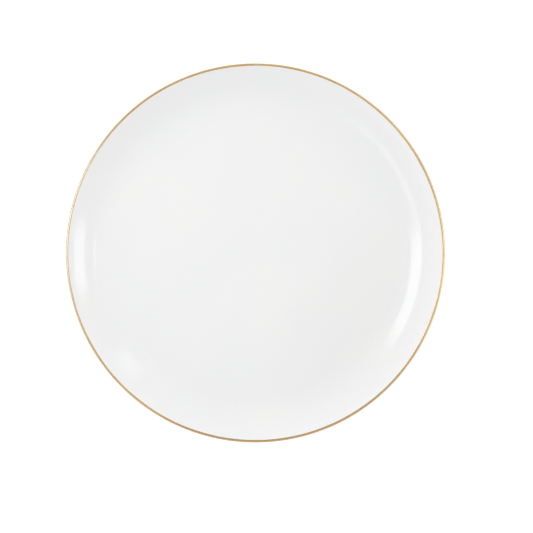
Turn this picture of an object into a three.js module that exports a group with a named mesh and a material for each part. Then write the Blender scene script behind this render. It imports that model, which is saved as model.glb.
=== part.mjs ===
// Coupe dinner plate in hard-paste porcelain: a flat well that sweeps up to a plain rim with a gilded lip.
// Millimetres, +Z up. The origin is the centre of the foot ring's resting plane.
//
// Every piece is a body of revolution. The outline of the bare (biscuit) china is drawn once, as points
// with their outward normals. The glaze and the gold are layers on stretches of that same outline, so each
// layer's inner skin is exactly the outer skin of what it was fired onto.

import * as THREE from "three";

// Driving dimensions of the finished plate.
const RIM_RADIUS = 135; // outermost, at the middle of the gilded lip
const WELL_RADIUS = 104; // flat well that the food lies on
const VERGE_RADIUS = 120; // where the tight curve out of the well eases into the rim
const VERGE_SLOPE = 30; // degrees, of the face at the verge
const RIM_SLOPE = 40; // degrees, of the face where the lip starts
const WELL_LEVEL = 7.2; // height of the well above the table
const FLOOR_THICKNESS = 3.6; // china under the well
const LIP_THICKNESS = 2.1; // china at the lip, which is a full round
const FOOT_RADIUS = 82; // middle of the foot ring's resting face
const FOOT_FLAT = 2.2; // width of that face
const FOOT_DRAFT = 20; // degrees from upright, of the ring's two sides
const FOOT_EDGE_ROUND = 0.7; // radius of the ring's lower edges
const FOOT_FILLET = 2.2; // radius where its sides meet the plate's underside
const RECESS_LEVEL = 2.9; // china's underside inside the foot ring
const RECESS_RISE = 0.4; // how far that underside domes up to its centre, so that the plate can't rock
const BARE_FOOT = 1.2; // the ring is wiped free of glaze up to this height

// Layers.
const GLAZE = 0.25;
const GOLD = 0.1;
const GOLD_FACE_ANGLE = 112; // degrees up from level, round the lip: where the gold starts on the face side
const GOLD_BACK_ANGLE = -28; // where it ends on the back

// Facets.
const SEGMENTS = 64; // round the plate
const ARC_STEP = 8; // degrees between points on a large arc
const SMALL_ARC_STEP = 32; // degrees between points on an edge round or a fillet

const radians = THREE.MathUtils.degToRad;

// A point of the outline: its radius, its height, and the outward normal there as an angle from level.
function outlinePoint(radius, height, normalAngle) {
  return { radius, height, normalAngle };
}

// Points along an arc, ends included. On a convex arc the outward normal points away from the centre.
function arc(centre, size, fromAngle, toAngle, step, convex) {
  const count = Math.max(1, Math.ceil(Math.abs(toAngle - fromAngle) / step));
  const points = [];
  for (let i = 0; i <= count; i += 1) {
    const angle = fromAngle + ((toAngle - fromAngle) * i) / count;
    points.push(
      outlinePoint(
        centre.radius + size * Math.cos(radians(angle)),
        centre.height + size * Math.sin(radians(angle)),
        convex ? angle : angle + 180,
      ),
    );
  }
  return points;
}

// The centre of an arc that passes through a point. The centre lies at the given angle from it.
function arcCentre(point, size, angle) {
  return {
    radius: point.radius + size * Math.cos(radians(angle)),
    height: point.height + size * Math.sin(radians(angle)),
  };
}

// The face, from the axis out to the start of the lip: flat well, verge arc, rim arc.
function faceOutline() {
  const level = WELL_LEVEL - GLAZE;
  const lipRadius = LIP_THICKNESS / 2;
  const lipCentreRadius = RIM_RADIUS - GLAZE - GOLD - lipRadius;
  const faceEnd = lipCentreRadius - lipRadius * Math.sin(radians(RIM_SLOPE));
  const vergeArc = (VERGE_RADIUS - WELL_RADIUS) / Math.sin(radians(VERGE_SLOPE));
  const rimArc =
    (faceEnd - VERGE_RADIUS) / (Math.sin(radians(RIM_SLOPE)) - Math.sin(radians(VERGE_SLOPE)));
  const wellEdge = outlinePoint(WELL_RADIUS, level, 90);
  const verge = arc(arcCentre(wellEdge, vergeArc, 90), vergeArc, -90, -90 + VERGE_SLOPE, ARC_STEP, false);
  const vergeEnd = verge[verge.length - 1];
  const rim = arc(
    arcCentre(vergeEnd, rimArc, 90 + VERGE_SLOPE),
    rimArc,
    -90 + VERGE_SLOPE,
    -90 + RIM_SLOPE,
    ARC_STEP,
    false,
  );
  return [outlinePoint(0, level, 90), ...verge, ...rim.slice(1)];
}

// The lip, a full round from the end of the face to the start of the back, in three stretches: before the
// gold, gilded, and after the gold. Neighbouring stretches share their end points.
function lipOutline(face) {
  const faceEnd = face[face.length - 1];
  const centre = arcCentre(faceEnd, LIP_THICKNESS / 2, RIM_SLOPE - 90);
  const angles = [90 + RIM_SLOPE, GOLD_FACE_ANGLE, GOLD_BACK_ANGLE, RIM_SLOPE - 90];
  return angles
    .slice(1)
    .map((angle, i) => arc(centre, LIP_THICKNESS / 2, angles[i], angle, SMALL_ARC_STEP, true));
}

// The back, from the lip in to the edge of the well: the face set down by a thickness that grows inwards.
function backOutline(face) {
  const faceEndRadius = face[face.length - 1].radius;
  return face
    .slice(1)
    .reverse()
    .map((point) => {
      const share = (faceEndRadius - point.radius) / (faceEndRadius - WELL_RADIUS);
      const thickness = THREE.MathUtils.lerp(LIP_THICKNESS, FLOOR_THICKNESS, share);
      const under = arcCentre(point, -thickness, point.normalAngle);
      return outlinePoint(under.radius, under.height, point.normalAngle - 180);
    });
}

// The outer side of the foot ring, from the plate's underside down to the resting face. Radii are measured
// from the ring's middle.
function footSide(undersideHeight) {
  const slant = radians(FOOT_DRAFT);
  const edgeCentre = { radius: FOOT_FLAT / 2, height: FOOT_EDGE_ROUND };
  const edge = arc(edgeCentre, FOOT_EDGE_ROUND, -FOOT_DRAFT, -90, SMALL_ARC_STEP, true);
  const sideRadius = (height) => edge[0].radius + (height - edge[0].height) * Math.tan(slant);
  // The fillet is tangent to the underside and to the slanted side, so its centre is its radius from both.
  const filletHeight = undersideHeight - FOOT_FILLET;
  const filletCentre = {
    radius: sideRadius(filletHeight) + FOOT_FILLET / Math.cos(slant),
    height: filletHeight,
  };
  return {
    fillet: arc(filletCentre, FOOT_FILLET, 90, 180 - FOOT_DRAFT, SMALL_ARC_STEP, false),
    glazeLine: outlinePoint(sideRadius(BARE_FOOT), BARE_FOOT, -FOOT_DRAFT),
    edge,
  };
}

// Points of the ring's outer side, put in place.
function outward(points) {
  return points.map((point) => outlinePoint(FOOT_RADIUS + point.radius, point.height, point.normalAngle));
}

// Points of the ring's outer side, mirrored to make its inner side and put in order from the table upwards.
function inward(points) {
  return points
    .map((point) => outlinePoint(FOOT_RADIUS - point.radius, point.height, 180 - point.normalAngle))
    .reverse();
}

// The whole outline of the bare china, in the stretches that the layers cover.
function chinaOutline() {
  const face = faceOutline();
  const [lipFace, lipGilded, lipBack] = lipOutline(face);
  const back = backOutline(face);
  const outer = footSide(back[back.length - 1].height);
  const inner = footSide(RECESS_LEVEL);
  const recessCentre = outlinePoint(0, RECESS_LEVEL + RECESS_RISE, 270);
  return {
    glazed: [
      ...face,
      ...lipFace.slice(1),
      ...lipGilded.slice(1),
      ...lipBack.slice(1, -1),
      ...back,
      ...outward([...outer.fillet, outer.glazeLine]),
    ],
    gilded: lipGilded,
    bare: [...outward(outer.edge), ...inward(inner.edge)],
    recess: [...inward([...inner.fillet, inner.glazeLine]), recessCentre],
  };
}

// The points of an outline moved out along their normals.
function raised(outline, by) {
  return outline.map(
    (point) =>
      new THREE.Vector2(
        point.radius === 0 ? 0 : point.radius + by * Math.cos(radians(point.normalAngle)),
        point.height + by * Math.sin(radians(point.normalAngle)),
      ),
  );
}

// A closed layer on a stretch of the outline, between two heights above the china.
function layer(outline, from, to) {
  return [...raised(outline, to), ...raised(outline, from).reverse()];
}

// A solid of revolution about Z. The profile runs clockwise, seen with the radius to the right and Z up.
function turned(name, profile, material) {
  const startsOnAxis = profile[0].x === 0;
  const loop = startsOnAxis ? profile : [...profile, profile[0]];
  const geometry = new THREE.LatheGeometry(loop.reverse(), SEGMENTS);
  geometry.rotateX(Math.PI / 2);
  const mesh = new THREE.Mesh(geometry, material);
  mesh.name = name;
  return mesh;
}

const biscuitMaterial = new THREE.MeshStandardMaterial({ color: 0xe9e4da, roughness: 0.8, metalness: 0 });
const glazeMaterial = new THREE.MeshStandardMaterial({ color: 0xf3f3f1, roughness: 0.08, metalness: 0 });
const goldMaterial = new THREE.MeshStandardMaterial({ color: 0xcfa868, roughness: 0.22, metalness: 1 });

const china = chinaOutline();
const plate = new THREE.Group();
plate.add(
  turned("china_body", raised([...china.glazed, ...china.bare, ...china.recess], 0), biscuitMaterial),
  turned("glaze_coat", layer(china.glazed, 0, GLAZE), glazeMaterial),
  turned("foot_recess_glaze", layer(china.recess, 0, GLAZE), glazeMaterial),
  turned("gold_rim_band", layer(china.gilded, GLAZE, GLAZE + GOLD), goldMaterial),
);

export default plate;
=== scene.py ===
"""The looks of a coupe dinner plate: white glazed porcelain with a gilded lip, seen from straight above.

Metres, +Z up, in the CAD model's frame: the plate's axis is the Z axis and it stands on Z = 0.
Every piece is a section turned about that axis. The section is drawn once, for the bare china, as points
with their outward normals. The glaze and the gold are layers on it, with the unevenness of hand work.
"""

import math
from typing import NamedTuple

import bpy
import numpy as np
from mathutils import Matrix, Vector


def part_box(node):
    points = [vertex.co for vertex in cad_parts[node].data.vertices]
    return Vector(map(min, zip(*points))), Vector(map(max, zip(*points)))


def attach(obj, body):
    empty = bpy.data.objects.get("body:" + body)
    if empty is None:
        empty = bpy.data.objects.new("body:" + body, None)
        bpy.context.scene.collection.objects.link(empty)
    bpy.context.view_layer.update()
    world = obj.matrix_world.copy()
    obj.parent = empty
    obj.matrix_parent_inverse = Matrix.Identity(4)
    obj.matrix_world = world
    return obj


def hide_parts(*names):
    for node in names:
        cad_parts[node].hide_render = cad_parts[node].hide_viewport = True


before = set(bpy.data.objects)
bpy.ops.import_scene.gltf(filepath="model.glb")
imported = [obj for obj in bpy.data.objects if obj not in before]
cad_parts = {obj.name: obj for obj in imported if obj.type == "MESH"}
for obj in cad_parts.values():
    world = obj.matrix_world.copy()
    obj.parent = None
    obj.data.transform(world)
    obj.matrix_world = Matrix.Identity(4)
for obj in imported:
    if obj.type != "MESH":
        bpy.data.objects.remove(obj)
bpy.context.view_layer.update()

MM = 0.001
FULL_TURN = 2 * math.pi

# ---------------------------------------------------------------- sizes that the CAD model gives
_, CHINA_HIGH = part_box("china_body")
GLAZE_LOW, GLAZE_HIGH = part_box("glaze_coat")
_, GOLD_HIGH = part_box("gold_rim_band")

RIM_RADIUS = GOLD_HIGH.x
CHINA_RADIUS = CHINA_HIGH.x
GLAZE = GLAZE_HIGH.x - CHINA_HIGH.x
GLAZE_LINE = GLAZE_LOW.z  # height at which the glaze ends on the foot ring

# ---------------------------------------------------------------- the china's section, as in the CAD model
WELL_RADIUS = 104 * MM
VERGE_RADIUS = 120 * MM
VERGE_SLOPE = math.radians(30)
RIM_SLOPE = math.radians(40)
LIP_THICKNESS = 2.1 * MM
FLOOR_THICKNESS = 3.6 * MM
FOOT_RADIUS = 82 * MM
FOOT_FLAT = 2.2 * MM
FOOT_DRAFT = math.radians(20)
FOOT_EDGE_ROUND = 0.7 * MM
FOOT_FILLET = 2.2 * MM
RECESS_LEVEL = 2.9 * MM
RECESS_RISE = 0.4 * MM

LIP_ROUND = LIP_THICKNESS / 2
LIP_CENTRE_RADIUS = CHINA_RADIUS - LIP_ROUND
LIP_CENTRE_HEIGHT = CHINA_HIGH.z - LIP_ROUND

# ---------------------------------------------------------------- what firing and hand work do to it
SLOPE_EASE = 2.5 * MM  # half width over which one curve of the face eases into the next
WELL_SAG = 0.18 * MM  # the well's middle sinks this much in the kiln
RIM_WARP = 0.13 * MM  # how far the rim leaves its plane
WALL_RIPPLE = 0.012 * MM  # faint ripples round the wall, left by the pressing
STIFF_RADIUS = FOOT_RADIUS + 10 * MM  # the foot ring keeps the plate true out to here
GLAZE_BOND = 0.04 * MM  # glaze and gold are fused this far into what they lie on
GLAZE_EDGE = 0.22 * MM  # width over which the glaze rounds off at the foot
GLAZE_LINE_WOBBLE = 0.10 * MM
LIP_GLAZE_RAMP = 0.3  # how fast the glaze thickens from the lip's two ends, under the gold: lower is faster

GOLD_PROUD = 0.025 * MM  # gold's height over the glaze
GOLD_EDGE = 0.12 * MM  # width over which it thins out at its edges
GOLD_EDGE_SINK = 0.4 * GLAZE_BOND  # how far its edges end under the glaze's skin
GOLD_FACE_ANGLE = math.radians(112)
GOLD_BACK_ANGLE = math.radians(-28)
GOLD_FACE_WOBBLE = math.radians(3.2)
GOLD_BACK_WOBBLE = math.radians(4.8)
GOLD_JOIN_AZIMUTH = math.radians(232)  # where the brush stroke closes on its own start
GOLD_JOIN_LENGTH = 0.05  # half the overlap's length there, as an angle
GOLD_JOIN_SPREAD = math.radians(5.12)  # how much further in the gold reaches there
PAINTED_SHADE_GOLD_AZIMUTH = math.radians(-80)  # painted shade: the side towards which the gold is made darker and browner
PAINTED_YELLOW_HIGHLIGHT_AZIMUTH = math.radians(0)  # painted highlight: the side towards which the gold is made brighter and yellower
PAINTED_PALE_HIGHLIGHT_AZIMUTH = math.radians(170)  # painted highlight: the side towards which the gold is made paler

# ---------------------------------------------------------------- mesh density
ROUND = 384  # points round the plate
SMALL_ARC = 12  # points on a small round
FACE_STEP = 0.05 * MM  # spacing of the points from which the face's height is summed
FACE_FLAT_END = 0.9 * WELL_RADIUS  # the rings on the face stand closer from here outwards
FACE_FLAT_RINGS = 16
FACE_CURVE_RINGS = 70
BACK_STRIDE = 3  # the back has a ring for every third one on the face
RECESS_RINGS = 24
SHARP_ANGLE = math.radians(50)
ON_AXIS = 1e-9


# ================================================================ sections
class Section:
    """Points of an outline with their outward normals, as arrays of radius, height and normal angle."""

    def __init__(self, radius, height, normal):
        self.radius = np.atleast_1d(np.asarray(radius, float))
        self.height = np.atleast_1d(np.asarray(height, float))
        self.normal = np.atleast_1d(np.asarray(normal, float))

    def __len__(self):
        return len(self.radius)

    def __getitem__(self, index):
        return Section(self.radius[index], self.height[index], self.normal[index])

    def reversed(self):
        return self[::-1]

    def thinned(self):
        """Every other point, with both ends kept, for a skin that is out of sight."""
        last = len(self) - 1
        return self[[*range(0, last, 2), last]]

    def raised(self, by):
        """The points moved out along their normals. A point on the axis stays on it."""
        across = np.where(self.radius < ON_AXIS, 0, by * np.cos(self.normal))
        return Section(self.radius + across, self.height + by * np.sin(self.normal), self.normal)


def joined(*sections):
    return Section(
        np.concatenate([s.radius for s in sections]),
        np.concatenate([s.height for s in sections]),
        np.concatenate([s.normal for s in sections]),
    )


def arc(radius, height, size, start, end, count, convex=True):
    """An arc about a centre. The outward normal points away from the centre if it is convex."""
    angle = np.linspace(start, end, count)
    normal = angle if convex else angle + math.pi
    return Section(radius + size * np.cos(angle), height + size * np.sin(angle), normal)


def eased(values, width):
    """A moving average over width samples, applied twice, so that the curvature changes gradually too."""
    kernel = np.ones(width) / width
    for _ in range(2):
        padded = np.pad(values, width // 2, mode="reflect", reflect_type="odd")
        values = np.convolve(padded, kernel, mode="valid")
    return values


def face_section():
    """The china's face from the axis to the lip: a flat well, a tight curve and the rim's easy one."""
    face_end = LIP_CENTRE_RADIUS - LIP_ROUND * math.sin(RIM_SLOPE)
    face_end_height = LIP_CENTRE_HEIGHT + LIP_ROUND * math.cos(RIM_SLOPE)
    fine = np.arange(0, face_end + FACE_STEP / 2, FACE_STEP)
    bends = [0, WELL_RADIUS, VERGE_RADIUS, face_end]
    sine = np.interp(fine, bends, [0, 0, math.sin(VERGE_SLOPE), math.sin(RIM_SLOPE)])
    sine = np.clip(eased(sine, 2 * round(SLOPE_EASE / FACE_STEP) + 1), 0, None)
    tangent = sine / np.sqrt(1 - sine**2)
    rise = np.concatenate([[0], np.cumsum((tangent[1:] + tangent[:-1]) / 2 * FACE_STEP)])
    share = np.clip(fine / WELL_RADIUS, 0, 1)
    height = rise - rise[-1] + face_end_height - WELL_SAG * (1 - share**2) ** 2
    slope = np.arctan(np.gradient(height, fine))
    flat = np.linspace(0, FACE_FLAT_END, FACE_FLAT_RINGS)
    curve = np.linspace(FACE_FLAT_END, face_end, FACE_CURVE_RINGS)
    radius = np.concatenate([flat, curve[1:]])
    return Section(radius, np.interp(radius, fine, height), np.interp(radius, fine, slope) + math.pi / 2)


def lip_section():
    """The china's lip, a full round from the end of the face to the start of the back."""
    start, end = math.pi / 2 + RIM_SLOPE, RIM_SLOPE - math.pi / 2
    return arc(LIP_CENTRE_RADIUS, LIP_CENTRE_HEIGHT, LIP_ROUND, start, end, 2 * SMALL_ARC)


def back_section(face):
    """The china's back from the lip in to the edge of the well: the face set down by a growing thickness."""
    outer = face[face.radius >= WELL_RADIUS][::-BACK_STRIDE]
    share = (face.radius[-1] - outer.radius) / (face.radius[-1] - WELL_RADIUS)
    thickness = LIP_THICKNESS + (FLOOR_THICKNESS - LIP_THICKNESS) * share
    return Section(
        outer.radius - thickness * np.cos(outer.normal),
        outer.height - thickness * np.sin(outer.normal),
        outer.normal - math.pi,
    )


def foot_side_radius(height):
    """The radius, from the foot ring's middle, of its straight outer side at a height."""
    edge_top_radius = FOOT_FLAT / 2 + FOOT_EDGE_ROUND * math.cos(FOOT_DRAFT)
    edge_top_height = FOOT_EDGE_ROUND - FOOT_EDGE_ROUND * math.sin(FOOT_DRAFT)
    return edge_top_radius + (height - edge_top_height) * math.tan(FOOT_DRAFT)


def foot_edge():
    """The rounded lower edge of the ring's outer side, with radii from the ring's middle."""
    return arc(FOOT_FLAT / 2, FOOT_EDGE_ROUND, FOOT_EDGE_ROUND, -FOOT_DRAFT, -math.pi / 2, SMALL_ARC)


def foot_fillet(underside_height):
    """The fillet from the plate's underside to the ring's outer side, with radii from the ring's middle."""
    height = underside_height - FOOT_FILLET
    radius = foot_side_radius(height) + FOOT_FILLET / math.cos(FOOT_DRAFT)
    return arc(radius, height, FOOT_FILLET, math.pi / 2, math.pi - FOOT_DRAFT, SMALL_ARC, convex=False)


def outward(section):
    """A section of the ring's outer side, put in place."""
    return Section(FOOT_RADIUS + section.radius, section.height, section.normal)


def inward(section):
    """A section of the ring's outer side, mirrored to its inner side and put in order from the table up."""
    return Section(FOOT_RADIUS - section.radius, section.height, math.pi - section.normal).reversed()


class Outline(NamedTuple):
    """The bare china's outline, from the axis over the lip and back to the axis."""

    coated: Section  # the face, the lip and the back, down to the ring's outer side
    lip: slice  # the lip's points among them
    bare: Section  # the ring's lower edges, with the resting face between them
    recess: Section  # the ring's inner side and the underside within it


def china_outline():
    face, lip = face_section(), lip_section()[1:-1]
    back = back_section(face)
    coated = joined(face, lip, back, outward(foot_fillet(back.height[-1])))
    bare = joined(outward(foot_edge()), inward(foot_edge()))
    side = inward(foot_fillet(RECESS_LEVEL))
    radius = np.linspace(side.radius[-1], 0, RECESS_RINGS)[1:]
    dome = 1 - (radius / side.radius[-1]) ** 2
    floor = Section(radius, RECESS_LEVEL + RECESS_RISE * dome, np.full(len(radius), 1.5 * math.pi))
    return Outline(coated, slice(len(face), len(face) + len(lip)), bare, joined(side, floor))


# ================================================================ meshes
AZIMUTH = np.linspace(0, FULL_TURN, ROUND, endpoint=False)


def ripple(waves, *, seed):
    """A smooth unevenness round the plate, between about -1 and 1, from a few waves of the given counts."""
    phases = np.random.default_rng(seed).uniform(0, FULL_TURN, len(waves))
    total = sum(np.cos(n * AZIMUTH + phase) for n, phase in zip(waves, phases))
    return total / len(waves)


def warped(radius, height):
    """Heights with the rim's warp and the wall's faint ripples, for arrays of rings by azimuth."""
    share = np.clip((radius - STIFF_RADIUS) / (RIM_RADIUS - STIFF_RADIUS), 0, 1)
    lean = share**2 * RIM_WARP * ripple([2, 3, 5], seed=3)
    return height + lean + share * WALL_RIPPLE * ripple([11, 17, 23, 31], seed=4)


def between(ring, next_ring):
    """The faces between two rings of point numbers. A ring that is one point over again is a pole."""
    corners = np.column_stack([ring, next_ring, np.roll(next_ring, -1), np.roll(ring, -1)])
    from_pole, to_pole = ring[0] == ring[1], next_ring[0] == next_ring[1]
    if from_pole and to_pole:
        return []
    if from_pole:
        return corners[:, :3].tolist()
    if to_pole:
        return corners[:, [0, 1, 3]].tolist()
    return corners.tolist()


def turned(name, radius, height, material):
    """A closed mesh of rings about Z, from arrays with a row for each ring. A ring on the axis is one point.

    The section runs from the face out over the lip and back under, so that the faces point out.
    """
    on_axis = radius[:, 0] < ON_AXIS
    height = warped(radius, height)
    points, rings, count = [], [], 0
    for ring_radius, ring_height, pole in zip(radius, height, on_axis):
        if pole:
            points.append(np.array([[0, 0, ring_height.mean()]]))
            rings.append(np.full(ROUND, count))
        else:
            across, along = ring_radius * np.cos(AZIMUTH), ring_radius * np.sin(AZIMUTH)
            points.append(np.column_stack([across, along, ring_height]))
            rings.append(count + np.arange(ROUND))
        count += len(points[-1])
    if not on_axis[0]:
        rings.append(rings[0])
    faces = [face for ring, next_ring in zip(rings, rings[1:]) for face in between(ring, next_ring)]
    mesh = bpy.data.meshes.new(name)
    mesh.from_pydata(np.concatenate(points).tolist(), [], faces)
    mesh.validate()
    mesh.shade_smooth()
    mesh.set_sharp_from_angle(angle=SHARP_ANGLE)
    mesh.materials.append(material)
    piece = bpy.data.objects.new(name, mesh)
    bpy.context.scene.collection.objects.link(piece)
    return piece


def even(section):
    """A section's radii and heights as arrays that are the same at every azimuth."""
    return np.tile(section.radius[:, None], ROUND), np.tile(section.height[:, None], ROUND)


def stacked(*pairs):
    """Pairs of radii and heights, one after another as one pair."""
    return np.concatenate([p[0] for p in pairs]), np.concatenate([p[1] for p in pairs])


def glaze_end(side, wobble_seed):
    """The glaze's rounded end on one side of the foot ring, from full thickness down to nothing.

    side is 1 on the ring's outer side and -1 on its inner one. The line wanders, as a wiped edge does.
    """
    line = GLAZE_LINE + GLAZE_LINE_WOBBLE * ripple([3, 7, 13, 29], seed=wobble_seed)
    turn = np.linspace(0, math.pi / 2, SMALL_ARC)
    above_line = GLAZE_EDGE * (1 - np.sin(turn))
    thickness = ((GLAZE + GLAZE_BOND) * np.cos(turn) - GLAZE_BOND)[:, None]
    china_height = line[None, :] + above_line[:, None]
    radius = foot_side_radius(china_height) + thickness * math.cos(FOOT_DRAFT)
    return FOOT_RADIUS + side * radius, china_height - thickness * math.sin(FOOT_DRAFT)


# ================================================================ nodes and materials
class Graph:
    """A node tree, with short ways to add nodes and to link them."""

    def __init__(self, tree):
        self.tree = tree

    def add(self, kind, inputs=(), **settings):
        node = self.tree.nodes.new(kind)
        for key, value in settings.items():
            setattr(node, key, value)
        for key, value in dict(inputs).items():
            self.feed(node.inputs[key], value)
        return node

    def feed(self, socket, value):
        if isinstance(value, bpy.types.NodeSocket):
            self.tree.links.new(value, socket)
        else:
            socket.default_value = value

    def split(self, vector):
        return self.add("ShaderNodeSeparateXYZ", {0: vector}).outputs

    def math(self, operation, first, second=0.0):
        return self.add("ShaderNodeMath", {0: first, 1: second}, operation=operation).outputs[0]

    def weighted(self, first, first_weight, second, second_weight):
        """The sum of two values, each times its weight."""
        first = self.math("MULTIPLY", first, first_weight)
        return self.math("ADD", first, self.math("MULTIPLY", second, second_weight))

    def remap(self, value, low, high, out_low=0.0, out_high=1.0):
        """value taken smoothly from low..high into out_low..out_high. low may be the greater."""
        node = self.add(
            "ShaderNodeMapRange",
            {"Value": value, "From Min": low, "From Max": high, "To Min": out_low, "To Max": out_high},
            interpolation_type="SMOOTHSTEP",
        )
        return node.outputs["Result"]


class Surface(Graph):
    """A material's nodes, with the coordinates and the patterns that the materials here need."""

    MIX_COLOURS = (6, 7)  # a Mix node's two colour inputs
    MIX_RESULT = 2  # and its colour output

    def __init__(self, name):
        self.material = bpy.data.materials.new(name)
        self.material.use_nodes = True
        super().__init__(self.material.node_tree)
        self.shader = self.tree.nodes["Principled BSDF"]
        self.position = self.add("ShaderNodeTexCoord").outputs["Object"]
        self.x, self.y, self.height = self.split(self.position)
        squares = [self.math("MULTIPLY", axis, axis) for axis in (self.x, self.y)]
        self.radius = self.math("SQRT", self.math("ADD", *squares))

    def shade(self, values):
        """Feed the shader's inputs, by name."""
        for name, value in values.items():
            self.feed(self.shader.inputs[name], value)

    def noise(self, size, detail=2.0, roughness=0.5, vector=None):
        """Noise from 0 to 1 whose lumps are about size metres across."""
        inputs = {
            "Vector": vector or self.position,
            "Scale": 1 / size,
            "Detail": detail,
            "Roughness": roughness,
        }
        return self.add("ShaderNodeTexNoise", inputs).outputs["Fac"]

    def mix(self, factor, *colours):
        """A blend of two colours, each a socket or red, green and blue."""
        node = self.add("ShaderNodeMix", {"Factor": factor}, data_type="RGBA")
        for index, colour in zip(self.MIX_COLOURS, colours):
            is_socket = isinstance(colour, bpy.types.NodeSocket)
            self.feed(node.inputs[index], colour if is_socket else (*colour, 1.0))
        return node.outputs[self.MIX_RESULT]

    def bump(self, height, distance, after=None):
        """A normal from a height of 0 to 1 that stands for distance metres."""
        inputs = {"Height": height, "Distance": distance}
        if after is not None:
            inputs["Normal"] = after
        return self.add("ShaderNodeBump", inputs).outputs["Normal"]

    def toward(self, azimuth):
        """How far a point lies towards an azimuth, from -1 at the far rim to 1 at the near one."""
        return self.weighted(
            self.x, math.cos(azimuth) / RIM_RADIUS, self.y, math.sin(azimuth) / RIM_RADIUS
        )

    def streaks(self, length, width, detail):
        """Noise from 0 to 1 in streaks that run round the plate, about length by width metres."""
        angle = self.math("ARCTAN2", self.y, self.x)
        stretched = {
            0: self.math("MULTIPLY", angle, RIM_RADIUS / length),
            1: self.math("MULTIPLY", self.radius, 1 / width),
            2: self.math("MULTIPLY", self.height, 1 / width),
        }
        vector = self.add("ShaderNodeCombineXYZ", stretched).outputs[0]
        return self.noise(1.0, detail=detail, vector=vector)


GLAZE_COOL = (0.790, 0.793, 0.797)
GLAZE_WARM = (0.805, 0.803, 0.799)
GLAZE_THIN = (0.795, 0.775, 0.745)  # on the lip, where the china shows through
GLAZE_POOLED = (0.70, 0.735, 0.74)  # in the corners of the foot
IRON_SPECK = (0.42, 0.33, 0.24)
CLOUD_SIZE = 60 * MM  # of the patches that are cooler or warmer
GLAZE_THINS_AT = (3.5 * MM, 1.2 * MM)  # in from the rim: where it starts to, and is thinnest
GLAZE_POOLS_AT = (5.5 * MM, 2.4 * MM)  # from the foot ring's middle: where it starts to, and is deepest
FOOT_CORNER_AT = (3.6 * MM, 3.0 * MM)  # heights: just above the corners of the foot, and in them
SPECK_SPACING = 9 * MM
SPECK_SIZE = (0.018, 0.008)  # outer and inner radius, as a share of the spacing
SPECK_CHOICE = (0.86, 0.9)  # about one place in eight has one
PIT_DEPTH = 0.02 * MM  # of the pinhole at a speck
SMEAR_SIZE = 18 * MM  # of the patches that are glossier or less so
FLOW_SIZE = 22 * MM
FLOW_DEPTH = 0.010 * MM
ORANGE_PEEL_SIZE = 2.6 * MM
ORANGE_PEEL_DEPTH = 0.0022 * MM
GLAZE_ROUGHNESS = (0.030, 0.060)
GLAZE_IOR = 1.52


def glaze_material():
    """Clear glaze on white china: glossy, barely uneven, thin on the lip and deep in the foot's corners."""
    s = Surface("white_glaze")
    white = s.mix(s.remap(s.noise(CLOUD_SIZE, detail=3), 0.3, 0.7), GLAZE_COOL, GLAZE_WARM)

    thin = s.remap(s.radius, *(RIM_RADIUS - inset for inset in GLAZE_THINS_AT))
    white = s.mix(s.math("MULTIPLY", thin, 0.7), white, GLAZE_THIN)

    foot_distance = s.math("ABSOLUTE", s.math("SUBTRACT", s.radius, FOOT_RADIUS))
    pooled = s.math("MULTIPLY", s.remap(s.height, *FOOT_CORNER_AT), s.remap(foot_distance, *GLAZE_POOLS_AT))
    white = s.mix(s.math("MULTIPLY", pooled, 0.6), white, GLAZE_POOLED)

    places = s.add("ShaderNodeTexVoronoi", {"Vector": s.position, "Scale": 1 / SPECK_SPACING})
    chance = s.add("ShaderNodeSeparateColor", {0: places.outputs["Color"]}).outputs[0]
    speck = s.remap(places.outputs["Distance"], *SPECK_SIZE)
    speck = s.math("MULTIPLY", s.math("MULTIPLY", speck, s.remap(chance, *SPECK_CHOICE)), 0.35)

    smear = s.noise(SMEAR_SIZE, detail=4, roughness=0.6)
    flow = s.bump(s.noise(FLOW_SIZE, detail=1), FLOW_DEPTH)
    orange_peel = s.bump(s.noise(ORANGE_PEEL_SIZE, detail=1), ORANGE_PEEL_DEPTH, after=flow)
    pits = s.bump(s.math("MULTIPLY", speck, -1), PIT_DEPTH, after=orange_peel)
    s.shade(
        {
            "Base Color": s.mix(speck, white, IRON_SPECK),
            "Roughness": s.remap(smear, 0.3, 0.75, *GLAZE_ROUGHNESS),
            "Normal": pits,
            "IOR": GLAZE_IOR,
        }
    )
    return s.material


BISCUIT_DARK = (0.66, 0.62, 0.55)
BISCUIT_LIGHT = (0.74, 0.71, 0.65)
BISCUIT_GRAIN = (0.60, 0.55, 0.48)
BISCUIT_SCUFF = (0.34, 0.32, 0.30)
BISCUIT_ROUGHNESS = (0.62, 0.85)
GRAIN_SIZE = 0.35 * MM
GRAIN_DEPTH = 0.03 * MM
BISCUIT_PATCH_SIZE = 12 * MM  # of the darker and lighter patches
SCUFF_LENGTH = 14 * MM
SCUFF_WIDTH = 0.5 * MM
SCUFF_HEIGHT = 0.25 * MM  # above the table


def biscuit_material():
    """Bare fired china on the foot ring: matt, off-white, finely sandy, a little scuffed where it stands."""
    s = Surface("bare_biscuit")
    grain = s.noise(GRAIN_SIZE, detail=4, roughness=0.65)
    patches = s.noise(BISCUIT_PATCH_SIZE, detail=3)
    body = s.mix(s.remap(patches, 0.3, 0.7), BISCUIT_DARK, BISCUIT_LIGHT)
    body = s.mix(s.remap(grain, 0.35, 0.8), body, BISCUIT_GRAIN)
    scuff = s.remap(s.streaks(SCUFF_LENGTH, SCUFF_WIDTH, detail=3), 0.60, 0.72)
    scuff = s.math("MULTIPLY", s.math("MULTIPLY", scuff, s.remap(s.height, SCUFF_HEIGHT, 0.0)), 0.55)
    s.shade(
        {
            "Base Color": s.mix(scuff, body, BISCUIT_SCUFF),
            "Roughness": s.remap(grain, 0.2, 0.8, *BISCUIT_ROUGHNESS),
            "Normal": s.bump(grain, GRAIN_DEPTH),
        }
    )
    return s.material


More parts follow.
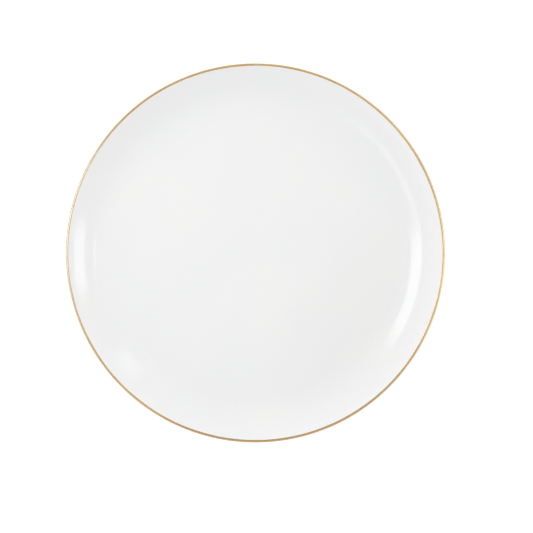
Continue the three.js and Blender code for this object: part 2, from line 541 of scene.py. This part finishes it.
GOLD_DEEP = (0.645, 0.445, 0.228)
GOLD_BRIGHT = (0.715, 0.495, 0.260)
GOLD_STREAK = (0.78, 0.58, 0.33)
# painted shade: the gold's darker, browner colour on the side towards -Y
GOLD_PAINTED_SHADE = (0.570, 0.395, 0.205)
# painted highlight: the gold's brighter, yellower colour on the side towards +X
GOLD_PAINTED_YELLOW_HIGHLIGHT = (0.75, 0.63, 0.35)
# painted highlight: the gold's paler colour on the side towards -X
GOLD_PAINTED_PALE_HIGHLIGHT = (0.67, 0.55, 0.385)
GOLD_WORN = (0.66, 0.55, 0.40)
GOLD_TINT = (0.62, 0.52, 0.40, 1.0)  # at grazing angles
GOLD_ROUGHNESS = (0.20, 0.30)
BRUSH_LENGTH = 9 * MM  # of a bristle's streak
BRUSH_WIDTH = 0.2 * MM
BRUSH_DEPTH = 0.003 * MM
GOLD_DEPTH_SIZE = 14 * MM  # of the stretches where the gold is deeper or brighter
PALE_HIGHLIGHT_PATCH_SIZE = 5 * MM
# of the patches in the painted highlight on the gold's pale side
WORN_PATCH_SIZE = 3 * MM
WORN_CREST = 0.16 * MM  # how far down from its top the gold is worn in places


def gold_material():
    """Fired gold, brushed on by hand: a painted shade makes it browner on one side, and painted highlights
    make it yellower on another and pale on a third.
    """
    s = Surface("fired_gold")
    brush = s.streaks(BRUSH_LENGTH, BRUSH_WIDTH, detail=3)
    gold = s.mix(s.remap(s.noise(GOLD_DEPTH_SIZE, detail=2), 0.3, 0.7), GOLD_DEEP, GOLD_BRIGHT)
    gold = s.mix(s.remap(brush, 0.5, 0.8, 0.0, 0.5), gold, GOLD_STREAK)
    # Painted shade: the gold is darker and browner on the side towards -Y.
    gold = s.mix(s.remap(s.toward(PAINTED_SHADE_GOLD_AZIMUTH), 0.6, 0.95, 0.0, 0.9), gold, GOLD_PAINTED_SHADE)
    # Painted highlight: the gold is brighter and yellower on the side towards +X.
    gold = s.mix(s.remap(s.toward(PAINTED_YELLOW_HIGHLIGHT_AZIMUTH), 0.85, 1.0, 0.0, 0.5), gold, GOLD_PAINTED_YELLOW_HIGHLIGHT)

    # Painted highlight: the gold is paler, in patches, on the side towards -X.
    pale_highlight = s.remap(s.toward(PAINTED_PALE_HIGHLIGHT_AZIMUTH), 0.75, 0.98)
    uneven = s.remap(s.noise(PALE_HIGHLIGHT_PATCH_SIZE, detail=4), 0.25, 0.6, 0.7, 1.0)
    gold = s.mix(s.math("MULTIPLY", pale_highlight, uneven), gold, GOLD_PAINTED_PALE_HIGHLIGHT)

    crest = s.remap(s.height, GOLD_HIGH.z - WORN_CREST, GOLD_HIGH.z)
    wear = s.math("MULTIPLY", crest, s.remap(s.noise(WORN_PATCH_SIZE, detail=4), 0.5, 0.7))
    s.shade(
        {
            "Base Color": s.mix(s.math("MULTIPLY", wear, 0.5), gold, GOLD_WORN),
            "Roughness": s.remap(brush, 0.25, 0.8, *GOLD_ROUGHNESS),
            "Normal": s.bump(brush, BRUSH_DEPTH),
            "Metallic": 1.0,
            "Specular Tint": GOLD_TINT,
        }
    )
    return s.material


FLOOR_GLOW = 0.27
GLOW_STARTS = 0.94 * RIM_RADIUS  # there is none further in, and it is full from the rim outwards


def floor_material():
    """A pale seamless table sweep. It glows a little, but not under the plate, where the shadow shows."""
    s = Surface("pale_floor")
    clear_of_plate = s.remap(s.radius, GLOW_STARTS, RIM_RADIUS)
    s.shade(
        {
            "Base Color": (0.9, 0.9, 0.9, 1.0),
            "Roughness": 1.0,
            "Specular IOR Level": 0.0,
            "Emission Color": (1.0, 1.0, 1.0, 1.0),
            "Emission Strength": s.math("MULTIPLY", clear_of_plate, FLOOR_GLOW),
        }
    )
    return s.material


# ================================================================ the plate
def make_china(outline):
    section = joined(outline.coated, outline.bare, outline.recess)
    return turned("foot_and_body_china", *even(section), biscuit_material())


def make_coat(outline, glaze):
    """The glaze on the face and the back. It is thicker under the gold, which in life has no height."""
    lip_glaze = RIM_RADIUS - CHINA_RADIUS - GOLD_PROUD
    lip_share = np.zeros(len(outline.coated))
    lip_points = outline.lip.stop - outline.lip.start
    lip_share[outline.lip] = np.sin(np.linspace(0, math.pi, lip_points)) ** LIP_GLAZE_RAMP
    outside = outline.coated.raised(GLAZE + lip_share * (lip_glaze - GLAZE))
    inside = outline.coated.raised(-GLAZE_BOND).thinned().reversed()
    section = stacked(even(outside), glaze_end(side=1, wobble_seed=11), even(inside))
    return turned("face_and_back_glaze", *section, glaze)


def make_recess_coat(outline, glaze):
    """The disc of glaze inside the foot ring."""
    outside = outline.recess.raised(GLAZE)
    inside = outline.recess.raised(-GLAZE_BOND).reversed()
    end_radius, end_height = glaze_end(side=-1, wobble_seed=12)
    section = stacked(even(outside), even(inside), (end_radius[::-1], end_height[::-1]))
    return turned("foot_recess_glaze_disc", *section, glaze)


def make_gold_line():
    """The gold over the lip: a thin band with wandering edges, widest where the stroke closes on itself."""
    from_join = (AZIMUTH - GOLD_JOIN_AZIMUTH + math.pi) % FULL_TURN - math.pi
    overlap = np.exp(-((from_join / GOLD_JOIN_LENGTH) ** 2))
    face_angle = GOLD_FACE_ANGLE + GOLD_FACE_WOBBLE * ripple([4, 9, 16, 27, 51], seed=21)
    face_angle = face_angle + GOLD_JOIN_SPREAD * overlap
    back_angle = GOLD_BACK_ANGLE + GOLD_BACK_WOBBLE * ripple([3, 8, 19, 33], seed=22)
    angle = face_angle + (back_angle - face_angle) * np.linspace(0, 1, 3 * SMALL_ARC)[:, None]

    reach = RIM_RADIUS - LIP_CENTRE_RADIUS
    to_edge = np.minimum(np.abs(angle - face_angle), np.abs(angle - back_angle)) * reach
    taper = np.sqrt(1 - (1 - np.clip(to_edge / GOLD_EDGE, 0, 1)) ** 2)
    skin = reach - (1 - taper) * (GOLD_PROUD + GOLD_EDGE_SINK)
    inner_angle = angle[::-1][1:-1]
    under = np.full(inner_angle.shape, reach - GOLD_PROUD - GLAZE_BOND)
    band_angle = np.concatenate([angle, inner_angle])
    band_reach = np.concatenate([skin, under])
    radius = LIP_CENTRE_RADIUS + band_reach * np.cos(band_angle)
    height = LIP_CENTRE_HEIGHT + band_reach * np.sin(band_angle)
    return turned("gold_lip_line", radius, height, gold_material())


def make_plate():
    outline = china_outline()
    glaze = glaze_material()
    for piece, node, slot in (
        (make_china(outline), "china_body", "biscuit_porcelain"),
        (make_coat(outline, glaze), "glaze_coat", "clear_glaze"),
        (make_recess_coat(outline, glaze), "foot_recess_glaze", "clear_glaze"),
        (make_gold_line(), "gold_rim_band", "gilding"),
    ):
        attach(piece, "root")
        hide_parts(node)


# ================================================================ stage and camera
FLOOR_RADIUS = 9
CAMERA_HEIGHT = 1.2  # over the rim
CAMERA_REACH = 20
PICTURE_WIDTH = 2.8075 * RIM_RADIUS  # what the picture spans at the rim's height
PLATE_LEFT = 0.0586 * RIM_RADIUS  # how far the plate sits left of the picture's middle
PLATE_UP = 0.0718 * RIM_RADIUS  # and above it
SENSOR = 36.0  # millimetres, as Blender has it


def make_floor():
    bpy.ops.mesh.primitive_circle_add(vertices=96, radius=FLOOR_RADIUS, fill_type="NGON", location=(0, 0, 0))
    floor = bpy.context.object
    floor.name = "table_sweep"
    floor.data.materials.append(floor_material())


def make_camera():
    data = bpy.data.cameras.new("overhead")
    data.sensor_width = SENSOR
    data.lens = SENSOR * CAMERA_HEIGHT / PICTURE_WIDTH
    data.clip_end = CAMERA_REACH
    camera = bpy.data.objects.new("overhead", data)
    camera.location = (PLATE_LEFT, -PLATE_UP, GOLD_HIGH.z + CAMERA_HEIGHT)
    bpy.context.scene.collection.objects.link(camera)
    bpy.context.scene.camera = camera


# ================================================================ light
class Patch(NamedTuple):
    """Soft-edged light, or shade, from one part of the sky as the plate sees it. Angles are in degrees."""

    azimuth: float  # of its middle, from +X towards +Y
    half_width: float  # in azimuth
    side_edge: float  # the softness of its two sides
    zenith: tuple  # its upper and lower edges, from straight up
    edges: tuple  # their softness
    strength: float


# The room is a light tent: even, a little brighter low down and on the right, and darker overhead.
TENT = 0.721  # on the left
TENT_RIGHT = 0.27  # more on the right
TENT_OVERHEAD = -0.15
TENT_LOW_GLOW = 0.585
OVERHEAD_AT = (0.2, 0.95)  # heights on a sky of radius 1: where it starts to darken, and is darkest
LOW_AT = (0.5, 0.0)  # where it starts to brighten, and is brightest
PATCHES = {
    "left_softbox": Patch(167, 19, 8, (24.5, 51), (2, 1.2), 2.6),
    "left_softbox_spill": Patch(212, 28, 14, (38, 52), (2.5, 1.2), 0.85),
    "right_softbox": Patch(2, 11, 5, (57.5, 68), (0.8, 2), 2.4),
    "right_tube": Patch(2, 8, 4, (35.9, 38.3), (0.8, 0.8), 3.6),
    "back_right_window": Patch(42, 5, 2, (38, 64), (3, 5), 1.10),
    "camera_arm": Patch(-34, 44, 22, (1.8, 4.3), (1.2, 0.9), -0.66),
}

NEAR_LIGHT_PLACE = (-0.55, 0.45, 0.70)
NEAR_LIGHT_SIZE = (0.5, 0.3)
NEAR_LIGHT_POWER = 1.85


class Sky(Graph):
    """The world's shader: what reaches the plate from every direction, as a sum of terms."""

    def __init__(self):
        world = bpy.data.worlds.new("light_tent")
        bpy.context.scene.world = world
        world.use_nodes = True
        super().__init__(world.node_tree)
        self.tree.nodes.clear()
        direction = self.add("ShaderNodeTexCoord").outputs["Generated"]
        self.x, self.y, self.z = self.split(direction)
        self.zenith = self.math("ARCCOSINE", self.z)
        self.total = 0.0

    def shine(self, share, strength):
        """Add a term: strength times a share that varies over the sky."""
        self.total = self.math("ADD", self.total, self.math("MULTIPLY", share, strength))

    def shine_patch(self, patch):
        turn = math.radians(patch.azimuth)
        along = self.weighted(self.x, math.cos(turn), self.y, math.sin(turn))
        aside = self.weighted(self.y, math.cos(turn), self.x, -math.sin(turn))
        off_middle = self.math("ABSOLUTE", self.math("ARCTAN2", aside, along))
        width, side, upper, lower, upper_edge, lower_edge = (
            math.radians(v) for v in (patch.half_width, patch.side_edge, *patch.zenith, *patch.edges)
        )
        between_sides = self.remap(off_middle, width + side, width - side)
        below_top = self.remap(self.zenith, upper - upper_edge, upper + upper_edge)
        above_bottom = self.remap(self.zenith, lower + lower_edge, lower - lower_edge)
        mask = self.math("MULTIPLY", between_sides, self.math("MULTIPLY", below_top, above_bottom))
        self.shine(mask, patch.strength)

    def finish(self):
        """The sky lights the plate, and the camera sees plain white behind the floor."""
        white = (1.0, 1.0, 1.0, 1.0)
        light = self.add("ShaderNodeBackground", {"Color": white, "Strength": self.total})
        seen = self.add("ShaderNodeBackground", {"Color": white})
        from_camera = self.add("ShaderNodeLightPath").outputs["Is Camera Ray"]
        mix = self.add("ShaderNodeMixShader", {0: from_camera, 1: light.outputs[0], 2: seen.outputs[0]})
        self.add("ShaderNodeOutputWorld", {"Surface": mix.outputs[0]})


def make_sky():
    sky = Sky()
    sky.shine(1.0, TENT)
    sky.shine(sky.math("ADD", sky.math("MULTIPLY", sky.x, 0.5), 0.5), TENT_RIGHT)
    sky.shine(sky.remap(sky.z, *OVERHEAD_AT), TENT_OVERHEAD)
    sky.shine(sky.remap(sky.z, *LOW_AT), TENT_LOW_GLOW)
    for patch in PATCHES.values():
        sky.shine_patch(patch)
    sky.finish()


def make_near_light():
    """A small box close by at the back left, which is why the well's far side is a shade darker."""
    data = bpy.data.lights.new("near_softbox", "AREA")
    data.shape = "RECTANGLE"
    data.size, data.size_y = NEAR_LIGHT_SIZE
    data.energy = NEAR_LIGHT_POWER
    near = bpy.data.objects.new("near_softbox", data)
    near.location = NEAR_LIGHT_PLACE
    near.rotation_euler = (-near.location).to_track_quat("-Z", "Y").to_euler()
    near.visible_glossy = False
    bpy.context.scene.collection.objects.link(near)


make_plate()
make_floor()
make_sky()
make_near_light()
make_camera()
bpy.context.scene.view_settings.view_transform = "Standard"
